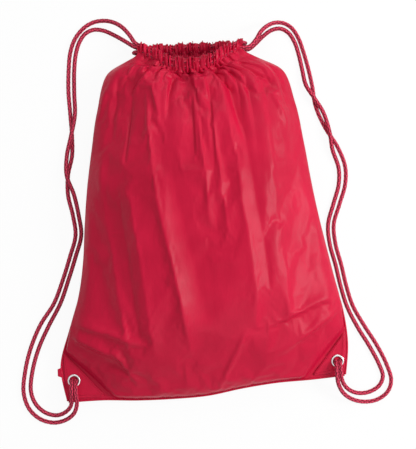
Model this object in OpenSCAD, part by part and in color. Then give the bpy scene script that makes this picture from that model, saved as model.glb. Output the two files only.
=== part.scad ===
// Drawstring backpack lying on its back panel: X across, +Y towards the mouth, +Z out of the front.

/* [Bag] */
// Height of the filled-out body above the surface it lies on
bag_h = 80; // [62:1:100]
// Thickness of the doubled cloth that each panel stands for
cloth_t = 1.6; // [1.2:0.1:2.2]
// Share of the designed width across the bag, away from the drawn-up mouth
width_scale = 1; // [0.8:0.01:1.2]
// Share of the designed length of the bag below the mouth
length_scale = 1; // [0.8:0.01:1.2]
// How far the joined seam edges stand out past the panels
seam_w = 3; // [2:0.5:5]

/* [Mouth] */
// Width of the mouth when the cords have drawn it up
mouth_w = 116; // [100:1:140]
// Height of each casing, measured along the bag
casing_w = 17; // [15:0.5:22]
// Thickness of each casing with two cords inside
casing_t = 8; // [7.9:0.1:10]
// Height of the front rim's middle above the surface
rim_h = 50; // [44:1:60]
// How far the front rim sags below the mouth's ends
rim_sag = 24; // [8:1:30]
// Gap between the front rim, which lifts, and the front panel
lift_gap = 0.3; // [0.3:0.1:0.8]

/* [Cords] */
// Diameter of the braided cord
cord_d = 4.6; // [3.8:0.1:4.6]
// Distance between the two cords that lie side by side in a casing
cord_pitch = 6; // [5:0.5:7]
// Height of the knot behind each eyelet
knot_h = 10; // [9:0.5:12]
// Diameter of the knot behind each eyelet
knot_d = 15; // [13:0.5:18]
// Length of the two cut ends past each knot's middle
tail_l = 27; // [20:1:34]

/* [Eyelets] */
// Bore of each eyelet, which passes both strands
eyelet_bore = 9.7; // [9.7:0.1:12]
// Wall of the eyelet's barrel
eyelet_wall = 0.5; // [0.4:0.1:0.8]
// Outer diameter of the flange and of the washer
eyelet_d = 15; // [14:0.5:18]
// Thickness of the flange on the front
flange_t = 1; // [0.8:0.1:1.4]
// Thickness of the washer on the back
washer_t = 0.8; // [0.6:0.1:1.2]
// Thickness of each corner patch
patch_t = 0.8; // [0.6:0.1:1.2]

/* [Hidden] */

red = [0.76, 0.08, 0.24];
dark_red = [0.60, 0.06, 0.20];
metal = [0.78, 0.72, 0.72];

// Middle of the mouth across the bag, and the line of the casings' ends along it
mouth_x = 0;
mouth_y = 208.5;
mouth_left = mouth_x - mouth_w / 2;
mouth_right = mouth_x + mouth_w / 2;
// Height of the back rim's bow above the line of its ends
back_bow = 0.5;

// Underside of the flat corners and of the seams, which stand on the knots
seam_z = knot_h + washer_t + patch_t;
// Top of the corner patches, where the eyelets' flanges lie and the strands come over the edge
lip = seam_z + 2 * cloth_t + patch_t;
// Height of the front casing's ends, one easy turn of the cord above the back casing's
front_end_z = seam_z + cloth_t / 2 + 4.15 * cord_d;

// Seam line of each side, bottom to top, at the designed size
left_edge = [[-166, -213], [-172, -170], [-160, -128], [-146, -88], [-138, -45], [-134, 0],
             [-129, 45], [-122, 90], [-114, 135], [-98, 184]];
right_edge = [[171, -195], [175, -157], [171, -117], [161, -77], [152, -35], [144, 5],
              [137, 48], [131, 91], [123, 138], [107, 181]];
// Bottom edge, left to right, at the designed size
base_edge = [[-166, -213], [-124, -212], [-82, -214], [-38, -214], [4, -212], [46, -205],
             [88, -200], [130, -198], [171, -195]];
// Eyelet centres and the slanting edge that ends each flat corner, at the designed size
eyelet_at = [[-158, -188], [163, -178]];
left_diagonal = [[-172, -150], [-116, -207]];
right_diagonal = [[128, -193], [174, -140]];
// Level ground between a corner's slanting edge and the rise of the body, and the rise's width
corner_ledge = 20;
corner_rise = 45;
// Width over which the back panel comes down from the side seams and from the base seam
side_rise = 45;
base_rise = 34;

columns = 24;
rows = 30;
// Share of the sides' length at which the side seams end and the mouth's slits begin
slit_from = 0.9;
// Share of the sides' length at which the body begins to run up into the rim
neck_from = 0.72;

// ---- Curves and blends ----
function smooth(t) = let (c = min(1, max(0, t))) c * c * (3 - 2 * c);
function mix(a, b, t) = a + (b - a) * t;
function scaled(p) = [p[0] * width_scale, mouth_y + (p[1] - mouth_y) * length_scale];
function spline(a, b, c, d, t) =
    0.5 * (2 * b + (c - a) * t + (2 * a - 5 * b + 4 * c - d) * t * t
           + (3 * b - a - 3 * c + d) * t * t * t);
// Point at share t of a smooth curve through a list of points
function along(points, t) =
    let (last = len(points) - 1, place = min(last, max(0, t * last)),
         i = min(last - 1, floor(place)))
    spline(points[max(0, i - 1)], points[i], points[i + 1], points[min(last, i + 2)], place - i);

panel_top_y = mouth_y - casing_w / 2;
left_curve = [for (p = left_edge) scaled(p), [mouth_left, panel_top_y]];
right_curve = [for (p = right_edge) scaled(p), [mouth_right, panel_top_y]];
base_curve = [for (p = base_edge) scaled(p)];

// ---- The two rims, as middle lines of their casings at share u across the mouth ----
function rim_x(u) = mix(mouth_left, mouth_right, u);
function bow(u) = sin(180 * min(1, max(0, u)));
function front_rim_at(u) =
    [rim_x(u), mouth_y - rim_sag * bow(u), mix(front_end_z, rim_h, pow(bow(u), 0.8))];
function back_rim_at(u) =
    [rim_x(u), mouth_y + back_bow * bow(u),
     mix(seam_z + cloth_t / 2, casing_t / 2, smooth(1.5 * bow(u)))];

// ---- Plan of a panel: row v, column u; top_shift moves the middle of the top row ----
function plan(u, v, top_shift) =
    let (l = along(left_curve, v), r = along(right_curve, v), b = along(base_curve, u),
         chord = mix(base_curve[0], base_curve[len(base_curve) - 1], u))
    mix(l, r, u) + (b - chord) * (1 - v) * (1 - v) + [0, top_shift * bow(u) * v * v];

// Distance past a slanting corner edge, towards the middle of the bag
function past(line, p) =
    let (a = scaled(line[0]), b = scaled(line[1]), d = (b - a) / norm(b - a))
    (p[1] - a[1]) * d[0] - (p[0] - a[0]) * d[1];
function past_corners(p) = min(past(left_diagonal, p), past(right_diagonal, p));
function body_share(p) = smooth((past_corners(p) - corner_ledge) / corner_rise);

// Inside height of the front panel: a filled-out body that runs up into the front rim
function crown(u) = pow(max(0, 1 - pow(abs(2 * u - 1), 2.2)), 0.62);
function swell(v) = pow(sin(90 * min(1, v / 0.38)), 0.8) * mix(1, 0.72, smooth((v - 0.55) / 0.45));
function front_z(u, v, p) =
    let (seam = seam_z + cloth_t,
         body = (bag_h - cloth_t - seam) * crown(u) * swell(v) * body_share(p),
         rim = front_rim_at(u)[2] - cloth_t / 2,
         at_side = smooth((v - slit_from) / (1 - slit_from)),
         at_middle = smooth((v - neck_from) / (1 - neck_from)))
    mix(seam + body, rim, mix(at_side, at_middle, smooth(1.6 * bow(u))));

// Underside height of the back panel
function back_z(u, v, p) =
    let (w = along(right_curve, v)[0] - along(left_curve, v)[0],
         l = (panel_top_y - base_curve[0][1]),
         lift = max(1 - smooth(min(u, 1 - u) * w / side_rise),
                    1 - smooth(v * l / base_rise), 1 - body_share(p)))
    mix(seam_z * lift, back_rim_at(u)[2] - cloth_t / 2, smooth((v - 0.85) / 0.15));

function front_point(i, j) =
    let (u = i / columns, v = j / rows, p = plan(u, v, -rim_sag), drop = j == rows ? lift_gap : 0)
    [p[0], p[1] - drop, front_z(u, v, p)];
function back_point(i, j) =
    let (u = i / columns, v = j / rows, p = plan(u, v, back_bow)) [p[0], p[1], back_z(u, v, p)];

// ---- Solids from grids and rings ----
// A sheet of thickness t on a grid of points, nu columns by nv rows of cells
module sheet(grid, nu, nv, t) {
    count = (nu + 1) * (nv + 1);
    points = concat(grid, [for (p = grid) p + [0, 0, t]]);
    function at(i, j) = j * (nu + 1) + i;
    rim = concat([for (i = [0:nu - 1]) at(i, 0)], [for (j = [0:nv - 1]) at(nu, j)],
                 [for (i = [nu:-1:1]) at(i, nv)], [for (j = [nv:-1:1]) at(0, j)]);
    faces = concat(
        [for (j = [0:nv - 1], i = [0:nu - 1]) [at(i, j), at(i + 1, j), at(i + 1, j + 1)]],
        [for (j = [0:nv - 1], i = [0:nu - 1]) [at(i, j), at(i + 1, j + 1), at(i, j + 1)]],
        [for (j = [0:nv - 1], i = [0:nu - 1])
            [count + at(i, j), count + at(i + 1, j + 1), count + at(i + 1, j)]],
        [for (j = [0:nv - 1], i = [0:nu - 1])
            [count + at(i, j), count + at(i, j + 1), count + at(i + 1, j + 1)]],
        [for (k = [0:len(rim) - 1]) let (a = rim[k], b = rim[(k + 1) % len(rim)])
            [a, count + a, count + b]],
        [for (k = [0:len(rim) - 1]) let (a = rim[k], b = rim[(k + 1) % len(rim)])
            [a, count + b, b]]);
    polyhedron(points, faces);
}

// A solid bar through a list of rings that all have the same number of points
module bar(rings) {
    n = len(rings[0]);
    last = len(rings) - 1;
    faces = concat(
        [for (k = [0:last - 1], s = [0:n - 1])
            [k * n + s, (k + 1) * n + s, (k + 1) * n + (s + 1) % n]],
        [for (k = [0:last - 1], s = [0:n - 1])
            [k * n + s, (k + 1) * n + (s + 1) % n, k * n + (s + 1) % n]],
        [[for (s = [0:n - 1]) s]],
        [[for (s = [n - 1:-1:0]) last * n + s]]);
    polyhedron([for (ring = rings) each ring], faces);
}

// Round rings along a route, carried without twist; its first and last rings are square to
// the directions start and end, so that they meet their neighbours face to face
function unit(v) = v / norm(v);
function heading(route, k, start, end) =
    k == 0 ? start : k == len(route) - 1 ? end : unit(route[k + 1] - route[k - 1]);
function carried(route, k, start, end) =
    let (before = k == 0 ? [0, 0, 1] : carried(route, k - 1, start, end),
         h = heading(route, k, start, end))
    unit(before - h * (before * h));
function round_rings(route, start, end, sides) =
    [for (k = [0:len(route) - 1])
        let (up = carried(route, k, start, end), side = cross(up, heading(route, k, start, end)))
        [for (s = [0:sides - 1]) let (a = (s + 0.5) * 360 / sides)
            route[k] + (side * cos(a) + up * sin(a)) * cord_d / 2]];

// ---- Panels ----
module eyelet_holes(r) {
    for (p = eyelet_at) translate([scaled(p)[0], scaled(p)[1], 0])
        cylinder(h = seam_z + 2 * cloth_t + 2 * patch_t, r = r, $fn = 48);
}
hole_r = eyelet_bore / 2 + eyelet_wall + 0.05;

module front_panel() color(red) difference() {
    sheet([for (j = [0:rows], i = [0:columns]) front_point(i, j)], columns, rows, cloth_t);
    eyelet_holes(hole_r);
}
module back_panel() color(red) difference() {
    sheet([for (j = [0:rows], i = [0:columns]) back_point(i, j)], columns, rows, cloth_t);
    eyelet_holes(hole_r);
}

// ---- Seams: both panels' edges joined and turned, as one square bar along the edge ----
function seam_ring(p, out) =
    let (z = seam_z, t = 2 * cloth_t)
    [[p[0], p[1], z], [p[0], p[1], z + t],
     [p[0] + out[0], p[1] + out[1], z + t], [p[0] + out[0], p[1] + out[1], z]];
module side_seam(curve, out) color(dark_red)
    bar([for (j = [0:rows * slit_from]) seam_ring(along(curve, j / rows), [out, 0])]);
module side_seam_left() mirror([1, 0, 0])
    side_seam([for (p = left_curve) [-p[0], p[1]]], seam_w);
module side_seam_right() side_seam(right_curve, seam_w);
module base_seam() color(dark_red)
    bar([for (i = [0:columns]) seam_ring(along(base_curve, i / columns), [0, -seam_w])]);

// ---- Casings: flattened channels along the rims, square to X ----
function slot_ring(c, w, t) =
    [for (q = [[-w / 2, -t / 4], [-w / 2, t / 4], [-w / 2 + t / 4, t / 2], [w / 2 - t / 4, t / 2],
               [w / 2, t / 4], [w / 2, -t / 4], [w / 2 - t / 4, -t / 2], [-w / 2 + t / 4, -t / 2]])
        c + [0, q[0], q[1]]];
module channel(path) {
    n = 8;
    last = len(path) - 1;
    outer = [for (c = path) each slot_ring(c, casing_w, casing_t)];
    inner = [for (c = path) each slot_ring(c, casing_w - 2 * cloth_t, casing_t - 2 * cloth_t)];
    m = len(outer);
    faces = concat(
        [for (k = [0:last - 1], s = [0:n - 1]) let (e = (s + 1) % n)
            [k * n + s, (k + 1) * n + s, (k + 1) * n + e]],
        [for (k = [0:last - 1], s = [0:n - 1]) let (e = (s + 1) % n)
            [k * n + s, (k + 1) * n + e, k * n + e]],
        [for (k = [0:last - 1], s = [0:n - 1]) let (e = (s + 1) % n)
            [m + k * n + s, m + (k + 1) * n + e, m + (k + 1) * n + s]],
        [for (k = [0:last - 1], s = [0:n - 1]) let (e = (s + 1) % n)
            [m + k * n + s, m + k * n + e, m + (k + 1) * n + e]],
        [for (s = [0:n - 1]) let (e = (s + 1) % n) [s, e, m + e]],
        [for (s = [0:n - 1]) let (e = (s + 1) % n) [s, m + e, m + s]],
        [for (s = [0:n - 1]) let (e = (s + 1) % n, a = last * n)
            [a + s, m + a + e, a + e]],
        [for (s = [0:n - 1]) let (e = (s + 1) % n, a = last * n)
            [a + s, m + a + s, m + a + e]]);
    polyhedron(concat(outer, inner), faces);
}
front_path = [for (i = [0:columns]) front_rim_at(i / columns)];
back_path = [for (i = [0:columns]) back_rim_at(i / columns)];
module front_casing() color(red) channel(front_path);
module back_casing() color(red) channel(back_path);

// ---- Corner patches, tab and eyelets ----
module patch(points, z) color(red) difference() {
    translate([0, 0, z]) linear_extrude(patch_t) polygon([for (p = points) scaled(p)]);
    eyelet_holes(hole_r);
}
left_patch = [[-170, -152], [-169, -186], [-163, -210], [-120, -209]];
right_patch = [[131, -195], [167, -191], [172, -176], [173, -143]];
module corner_patch_front_left() patch(left_patch, seam_z + 2 * cloth_t);
module corner_patch_front_right() patch(right_patch, seam_z + 2 * cloth_t);
module corner_patch_back_left() patch(left_patch, seam_z - patch_t);
module corner_patch_back_right() patch(right_patch, seam_z - patch_t);

// A folded ear of binding caught in the left seam beside the eyelet, between two points of the seam
tab_out = 3;
tab_rows = [2, 3];
module seam_tab_left() color(dark_red) translate([0, 0, seam_z]) linear_extrude(2 * cloth_t)
    polygon([for (j = tab_rows) along(left_curve, j / rows) - [seam_w, 0],
             for (share = [0.7, 0.3])
                 mix(along(left_curve, tab_rows[0] / rows), along(left_curve, tab_rows[1] / rows), share)
                     - [seam_w + tab_out, 0]]);

module at_eyelet(side) translate([scaled(eyelet_at[side])[0], scaled(eyelet_at[side])[1], 0])
    children();
bore_r = eyelet_bore / 2;
barrel_r = bore_r + eyelet_wall;
module eyelet() color(metal) rotate_extrude($fn = 64)
    polygon([[bore_r, knot_h], [barrel_r, knot_h], [barrel_r, lip],
             [eyelet_d / 2, lip], [eyelet_d / 2, lip + flange_t * 0.4],
             [eyelet_d / 2 - flange_t * 0.6, lip + flange_t],
             [bore_r + flange_t * 0.6, lip + flange_t],
             [bore_r, lip + flange_t * 0.5]]);
module eyelet_washer() color(metal) translate([0, 0, knot_h]) difference() {
    cylinder(h = washer_t, d = eyelet_d, $fn = 64);
    translate([0, 0, -1]) cylinder(h = washer_t + 2, r = barrel_r + 0.02, $fn = 64);
}
module eyelet_left() at_eyelet(0) eyelet();
module eyelet_right() at_eyelet(1) eyelet();
module eyelet_washer_left() at_eyelet(0) eyelet_washer();
module eyelet_washer_right() at_eyelet(1) eyelet_washer();

// ---- Cords ----
// Each free strand runs from its casing's end, over the surface and up through its eyelet.
r0 = 2.4;
cord_sides = 10;
left_outer_route = [
    [-58.3, 211.5, 31.5], [-65, 216, 30.5], [-72, 227, 26], [-81, 238, 19.5], [-92, 245.5, 12],
    [-104, 249, 5.5], [-117, 248, r0], [-129, 241.5, r0], [-140, 229, r0], [-146.5, 213, r0],
    [-149.5, 192, r0], [-151, 165, r0], [-150, 138, r0],
    [-149, 110, r0], [-150, 86, r0], [-156, 62, r0], [-157, 38, r0], [-152, 12, r0],
    [-150, -12, r0], [-158, -38, r0], [-168, -66, r0], [-180, -94, r0], [-198, -120, r0],
    [-211, -148, r0], [-219, -176, r0], [-222, -202, r0], [-216, -222, r0], [-203, -235, r0],
    [-187, -240, 3], [-172, -237, lip - 8.5], [-160, -228, lip - 1.5], [-155, -215, lip + 5.5],
    [-155.4, -203, lip + 9.5], [-155.6, -194, lip + 8], [-155.6, -188.7, lip + 2.5],
    [-155.6, -188, knot_h]];
left_inner_route = [
    [-58.3, 211.5, 12.4], [-67, 214.5, 11], [-78, 222, 8], [-91, 230.5, 4.5], [-105, 237.5, r0],
    [-117, 239, r0], [-127.5, 234.5, r0], [-135, 224.5, r0], [-140, 210, r0], [-142.8, 190, r0],
    [-144, 162, r0], [-144, 136, 5.2], [-149.5, 110, 7.8],
    [-156, 86, 5], [-157, 62, 7.8], [-149.5, 38, 5], [-145, 12, r0], [-143, -12, r0],
    [-151, -38, r0], [-161, -66, r0], [-172, -94, r0], [-188, -122, r0], [-201, -148, r0],
    [-210, -176, r0], [-213, -200, r0], [-208, -216, r0], [-197, -227, r0], [-184, -231, 4],
    [-173, -228, lip - 6.5], [-164, -220, lip], [-160.6, -209, lip + 6], [-160.4, -200, lip + 9],
    [-160.4, -193, lip + 7.5], [-160.4, -188.6, lip + 2], [-160.4, -188, knot_h]];
right_outer_route = [
    [58.3, 205.5, 31.5], [71.5, 205.8, 30.5], [80, 214, 26], [87, 225, 19.5], [95.5, 233, 12],
    [105.5, 237.5, 5.5], [116, 237, r0], [125.5, 231, r0], [133.5, 218, r0], [138.5, 202.5, r0],
    [144, 180, r0], [148, 158, r0], [151, 134, r0], [161, 108, r0], [176, 82, r0],
    [184, 58, r0], [183, 36, r0], [175, 12, r0],
    [167, -12, r0], [168, -36, r0], [174, -62, r0], [179, -88, r0], [186, -113, r0],
    [199, -138, r0], [213, -162, r0], [224, -186, r0], [229, -206, r0], [224, -220, r0],
    [211, -229, r0], [196, -231, 3], [181, -227, lip - 7.5], [169, -218, lip - 0.5],
    [162.5, -206, lip + 6], [160.6, -194, lip + 9.5], [160.6, -184, lip + 8],
    [160.6, -178.7, lip + 2.5], [160.6, -178, knot_h]];
right_inner_route = [
    [58.3, 205.5, 12.4], [71.5, 205.8, 10.5], [80, 212, 8], [90, 221.5, 4.5], [101, 229, r0],
    [112, 230.5, r0], [121.5, 225, r0], [128.5, 213.5, r0], [133, 198, r0], [136.5, 179, 3],
    [140, 160, 5], [149.5, 143, 7.8], [160, 125, 5],
    [166.5, 99, 7.8], [169, 80, 5], [176, 56, r0], [175, 36, r0], [168, 14, r0],
    [160, -12, r0], [161, -36, r0], [167, -62, r0], [172, -88, r0], [179, -114, r0],
    [191, -140, r0], [204, -163, r0], [215, -186, r0], [219, -201, r0], [214, -212, r0],
    [202, -219, r0], [189, -220, 4], [177, -215, lip - 5], [169, -206, lip + 2],
    [165.8, -196, lip + 7.5], [165.4, -189, lip + 9], [165.4, -183, lip + 7],
    [165.4, -178.6, lip + 1.5], [165.4, -178, knot_h]];

module strand(route) color(dark_red)
    bar(round_rings(route, [sign(route[0][0]), 0, 0], [0, 0, -1], cord_sides));
module cord_left_outer_strand() strand(left_outer_route);
module cord_left_inner_strand() strand(left_inner_route);
module cord_right_outer_strand() strand(right_outer_route);
module cord_right_inner_strand() strand(right_inner_route);

// The left cord's run is the one nearer the mouth's edge, and the right cord's lies below it
function casing_ring(c, place) =
    [for (s = [0:cord_sides - 1]) let (a = (s + 0.5) * 360 / cord_sides)
        c + [0, place * cord_pitch / 2, 0] + [0, cos(a), sin(a)] * cord_d / 2];
module run(path, place) color(dark_red) bar([for (c = path) casing_ring(c, place)]);
module cord_left_front_run() run(front_path, 1);
module cord_left_back_run() run(back_path, 1);
module cord_right_front_run() run(front_path, -1);
module cord_right_back_run() run(back_path, -1);

// Where a cord turns from the front casing into the back one at the far end of the mouth
module bight(end, out, place) {
    top = front_path[end];
    low = back_path[end];
    r = (top[2] - low[2]) / 2;
    route = [for (a = [0:18:180])
        [top[0] + out * (lift_gap + r * sin(a)), top[1] + place * cord_pitch / 2, low[2] + r + r * cos(a)]];
    color(dark_red) bar(round_rings(route, [out, 0, 0], [-out, 0, 0], cord_sides));
}
module cord_right_bight() bight(0, -1, -1);
module cord_left_bight() bight(columns, 1, 1);

module knot_shape() rotate_extrude($fn = 48)
    polygon([[0, 0], [knot_d / 2 - 2.5, 0], [knot_d / 2 - 0.7, 1.4], [knot_d / 2, knot_h / 2],
             [knot_d / 2 - 0.7, knot_h - 1.4], [knot_d / 2 - 2.5, knot_h], [0, knot_h]]);
module tails(turn) color(dark_red) difference() {
    for (a = [-16, 16]) rotate(turn + a) translate([0, 0, cord_d / 2]) rotate([0, 90, 0])
        translate([0, 0, 4]) cylinder(h = tail_l - 4, d = cord_d, $fn = 24);
    knot_shape();
}
module cord_left_knot() color(dark_red) at_eyelet(0) knot_shape();
module cord_right_knot() color(dark_red) at_eyelet(1) knot_shape();
module cord_left_tails() at_eyelet(0) tails(40);
module cord_right_tails() at_eyelet(1) tails(140);

front_panel();
back_panel();
side_seam_left();
side_seam_right();
base_seam();
front_casing();
back_casing();
corner_patch_front_left();
corner_patch_front_right();
corner_patch_back_left();
corner_patch_back_right();
seam_tab_left();
eyelet_left();
eyelet_right();
eyelet_washer_left();
eyelet_washer_right();
cord_left_outer_strand();
cord_left_inner_strand();
cord_right_outer_strand();
cord_right_inner_strand();
cord_left_front_run();
cord_left_back_run();
cord_left_bight();
cord_right_front_run();
cord_right_back_run();
cord_right_bight();
cord_left_knot();
cord_right_knot();
cord_left_tails();
cord_right_tails();
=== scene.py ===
import math

import bmesh
import bpy
import numpy as np
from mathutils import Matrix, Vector


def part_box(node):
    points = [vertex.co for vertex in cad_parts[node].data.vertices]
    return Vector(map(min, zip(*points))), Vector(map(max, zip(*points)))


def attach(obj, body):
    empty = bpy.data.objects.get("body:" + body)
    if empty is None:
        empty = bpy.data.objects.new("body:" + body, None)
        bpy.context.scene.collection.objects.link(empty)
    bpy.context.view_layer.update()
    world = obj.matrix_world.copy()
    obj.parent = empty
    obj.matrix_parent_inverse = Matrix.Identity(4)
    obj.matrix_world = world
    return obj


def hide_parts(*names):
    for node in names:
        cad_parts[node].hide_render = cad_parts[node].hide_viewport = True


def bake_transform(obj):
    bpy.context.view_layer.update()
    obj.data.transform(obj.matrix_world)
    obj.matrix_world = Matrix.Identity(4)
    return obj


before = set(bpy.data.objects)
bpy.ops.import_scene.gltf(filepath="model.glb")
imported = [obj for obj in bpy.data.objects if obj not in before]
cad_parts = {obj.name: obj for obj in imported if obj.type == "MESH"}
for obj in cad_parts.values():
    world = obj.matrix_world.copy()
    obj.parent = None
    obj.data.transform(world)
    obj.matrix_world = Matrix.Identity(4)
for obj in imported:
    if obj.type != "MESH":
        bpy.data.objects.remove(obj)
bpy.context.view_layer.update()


# ---- Camera ----
# It hangs straight over the bag as it lies on its back, turned a little, so that the cords
# and the flat corners show at their full length.
camera_data = bpy.data.cameras.new("camera")
camera_data.sensor_width = 36.0
camera_data.lens = 91.36
camera = bpy.data.objects.new("camera", camera_data)
camera.location = (0.0129, -0.0056, 1.4)
camera.rotation_euler = (0.0, 0.0, math.radians(-2.5))
bpy.context.collection.objects.link(camera)
bpy.context.scene.camera = camera


# ---- Cord yarn ----
# The cords are round polyester cord, eight carriers of yarn braided one over one round a
# soft core. The finish shows the yarn's fine lines and a little random wear, with painted
# shade in the gaps between the carriers and painted light on their tops.
class Shade:
    """A socket of a material, with which numbers can be added, multiplied and compared."""

    def __init__(self, tree, socket):
        self.tree = tree
        self.socket = socket

    def math(self, operation, first, second=0.0):
        made = self.tree.nodes.new("ShaderNodeMath")
        made.operation = operation
        for place, value in zip(made.inputs, (first, second)):
            if isinstance(value, Shade):
                self.tree.links.new(value.socket, place)
            else:
                place.default_value = value
        return Shade(self.tree, made.outputs[0])

    def __add__(self, other):
        return self.math("ADD", self, other)

    def __radd__(self, other):
        return self.math("ADD", other, self)

    def __sub__(self, other):
        return self.math("SUBTRACT", self, other)

    def __rsub__(self, other):
        return self.math("SUBTRACT", other, self)

    def __mul__(self, other):
        return self.math("MULTIPLY", self, other)

    def __rmul__(self, other):
        return self.math("MULTIPLY", other, self)

    def sine(self):
        return self.math("SINE", self)

    def size(self):
        return self.math("ABSOLUTE", self)


class Finish:
    """A material while it is being made, with one method that adds any node."""

    def __init__(self, name, **constants):
        self.material = bpy.data.materials.new(name)
        self.material.use_nodes = True
        self.tree = self.material.node_tree
        self.surface = self.tree.nodes["Principled BSDF"]
        for socket, value in constants.items():
            self.surface.inputs[socket.replace("_", " ")].default_value = value

    def feed(self, socket, value):
        if isinstance(value, Shade):
            self.tree.links.new(value.socket, socket)
        else:
            socket.default_value = value

    def node(self, kind, settings=None, inputs=None, output=0):
        made = self.tree.nodes.new("ShaderNode" + kind)
        for name, value in (settings or {}).items():
            if name == "stops":
                ramp = made.color_ramp
                while len(ramp.elements) < len(value):
                    ramp.elements.new(0.5)
                for element, (place, colour) in zip(ramp.elements, value):
                    element.position = place
                    element.color = (*colour, 1.0)
            else:
                setattr(made, name, value)
        for name, value in (inputs or {}).items():
            self.feed(made.inputs[name], value)
        return Shade(self.tree, made.outputs[output])

    def split(self, vector):
        made = self.tree.nodes.new("ShaderNodeSeparateXYZ")
        self.tree.links.new(vector.socket, made.inputs[0])
        return [Shade(self.tree, out) for out in made.outputs]

    def noise(self, vector, scale, detail=2.0, roughness=0.5):
        return self.node("TexNoise", None, {"Vector": vector, "Scale": scale, "Detail": detail,
                                            "Roughness": roughness})

    def bump(self, height, strength, distance):
        raised = self.node("Bump", None, {"Height": height, "Strength": strength,
                                          "Distance": distance})
        self.tree.links.new(raised.socket, self.surface.inputs["Normal"])


def braided_yarn(name, shadow, light):
    yarn = Finish(name, Roughness=0.55, Specular_IOR_Level=0.3)
    across, along, _ = yarn.split(yarn.node("UVMap", {"uv_map": "yarn"}))
    filaments = (across * (2 * math.pi * 9) + along * 2600.0).sine()
    # The height attribute runs from 0 in the gaps between the carriers, and where one passes under
    # another, to 1 on their tops; the tone it gives is painted shade in the gaps and painted light
    # on the tops.
    height = yarn.node("Attribute", {"attribute_name": "height"}, None, 2)
    place = yarn.node("TexCoord", None, None, 3)
    wear = yarn.noise(place, 900.0, 3.0)
    tone = height * 0.9 + filaments * 0.05 + wear * 0.20 - 0.08
    yarn.feed(yarn.surface.inputs["Base Color"],
              yarn.node("ValToRGB", {"stops": [(0.12, shadow), (0.92, light)]}, {"Fac": tone}))
    yarn.bump(filaments + wear, 0.35, 0.00012)
    return yarn.material


cord_finish = braided_yarn("braided_cord", (0.10, 0.001, 0.012), (0.66, 0.036, 0.092))

# ---- Free cord strands ----
# Each cord leaves the mouth's end as two strands, which lie loose beside the bag, come up over
# the bottom corner and go down through its eyelet. Both strands of a side cross now and then.
cord_diameter = 0.0046
carrier_ring = 0.345  # from the cord's middle to a carrier's, in cord diameters
flat = 0.0024  # the height of a cord's middle where it lies on the floor
knot_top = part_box("cord_left_knot")[1][2]
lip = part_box("corner_patch_front_left")[1][2]
left_outer_route = [
    (-0.0583, 0.2115, 0.0315), (-0.065, 0.216, 0.0305), (-0.072, 0.227, 0.026),
    (-0.081, 0.238, 0.0195), (-0.092, 0.2455, 0.012), (-0.104, 0.249, 0.0055),
    (-0.117, 0.248, flat), (-0.129, 0.2415, flat), (-0.140, 0.229, flat), (-0.1465, 0.213, flat),
    (-0.1495, 0.192, flat), (-0.151, 0.165, flat), (-0.150, 0.138, flat), (-0.149, 0.110, flat),
    (-0.150, 0.086, flat), (-0.156, 0.062, flat), (-0.157, 0.038, flat), (-0.152, 0.012, flat),
    (-0.150, -0.012, flat), (-0.158, -0.038, flat), (-0.168, -0.066, flat),
    (-0.180, -0.094, flat), (-0.198, -0.120, flat), (-0.211, -0.148, flat),
    (-0.219, -0.176, flat), (-0.222, -0.202, flat), (-0.216, -0.222, flat),
    (-0.203, -0.235, flat), (-0.187, -0.240, 0.003), (-0.172, -0.237, lip - 0.0085),
    (-0.160, -0.228, lip - 0.0015), (-0.155, -0.215, lip + 0.0055),
    (-0.1554, -0.203, lip + 0.0095), (-0.1556, -0.194, lip + 0.008),
    (-0.1556, -0.1887, lip + 0.0025), (-0.1556, -0.188, knot_top),
]
left_inner_route = [
    (-0.0583, 0.2115, 0.0124), (-0.067, 0.2145, 0.011), (-0.078, 0.222, 0.008),
    (-0.091, 0.2305, 0.0045), (-0.105, 0.2375, flat), (-0.117, 0.239, flat),
    (-0.1275, 0.2345, flat), (-0.135, 0.2245, flat), (-0.140, 0.210, flat),
    (-0.1428, 0.190, flat), (-0.144, 0.162, flat), (-0.144, 0.136, 0.0052),
    (-0.1495, 0.110, 0.0078), (-0.156, 0.086, 0.005), (-0.157, 0.062, 0.0078),
    (-0.1495, 0.038, 0.005), (-0.145, 0.012, flat), (-0.143, -0.012, flat),
    (-0.151, -0.038, flat), (-0.161, -0.066, flat), (-0.172, -0.094, flat),
    (-0.188, -0.122, flat), (-0.201, -0.148, flat), (-0.210, -0.176, flat),
    (-0.213, -0.200, flat), (-0.208, -0.216, flat), (-0.197, -0.227, flat),
    (-0.184, -0.231, 0.004), (-0.173, -0.228, lip - 0.0065), (-0.164, -0.220, lip),
    (-0.1606, -0.209, lip + 0.006), (-0.1604, -0.200, lip + 0.009),
    (-0.1604, -0.193, lip + 0.0075), (-0.1604, -0.1886, lip + 0.002),
    (-0.1604, -0.188, knot_top),
]
right_outer_route = [
    (0.0583, 0.2055, 0.0315), (0.0715, 0.2058, 0.0305), (0.080, 0.214, 0.026),
    (0.087, 0.225, 0.0195), (0.0955, 0.233, 0.012), (0.1055, 0.2375, 0.0055),
    (0.116, 0.237, flat), (0.1255, 0.231, flat), (0.1335, 0.218, flat), (0.1385, 0.2025, flat),
    (0.144, 0.180, flat), (0.148, 0.158, flat), (0.151, 0.134, flat), (0.161, 0.108, flat),
    (0.176, 0.082, flat), (0.184, 0.058, flat), (0.183, 0.036, flat), (0.175, 0.012, flat),
    (0.167, -0.012, flat), (0.168, -0.036, flat), (0.174, -0.062, flat), (0.179, -0.088, flat),
    (0.186, -0.113, flat), (0.199, -0.138, flat), (0.213, -0.162, flat), (0.224, -0.186, flat),
    (0.229, -0.206, flat), (0.224, -0.220, flat), (0.211, -0.229, flat), (0.196, -0.231, 0.003),
    (0.181, -0.227, lip - 0.0075), (0.169, -0.218, lip - 0.0005), (0.1625, -0.206, lip + 0.006),
    (0.1606, -0.194, lip + 0.0095), (0.1606, -0.184, lip + 0.008),
    (0.1606, -0.1787, lip + 0.0025), (0.1606, -0.178, knot_top),
]
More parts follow.
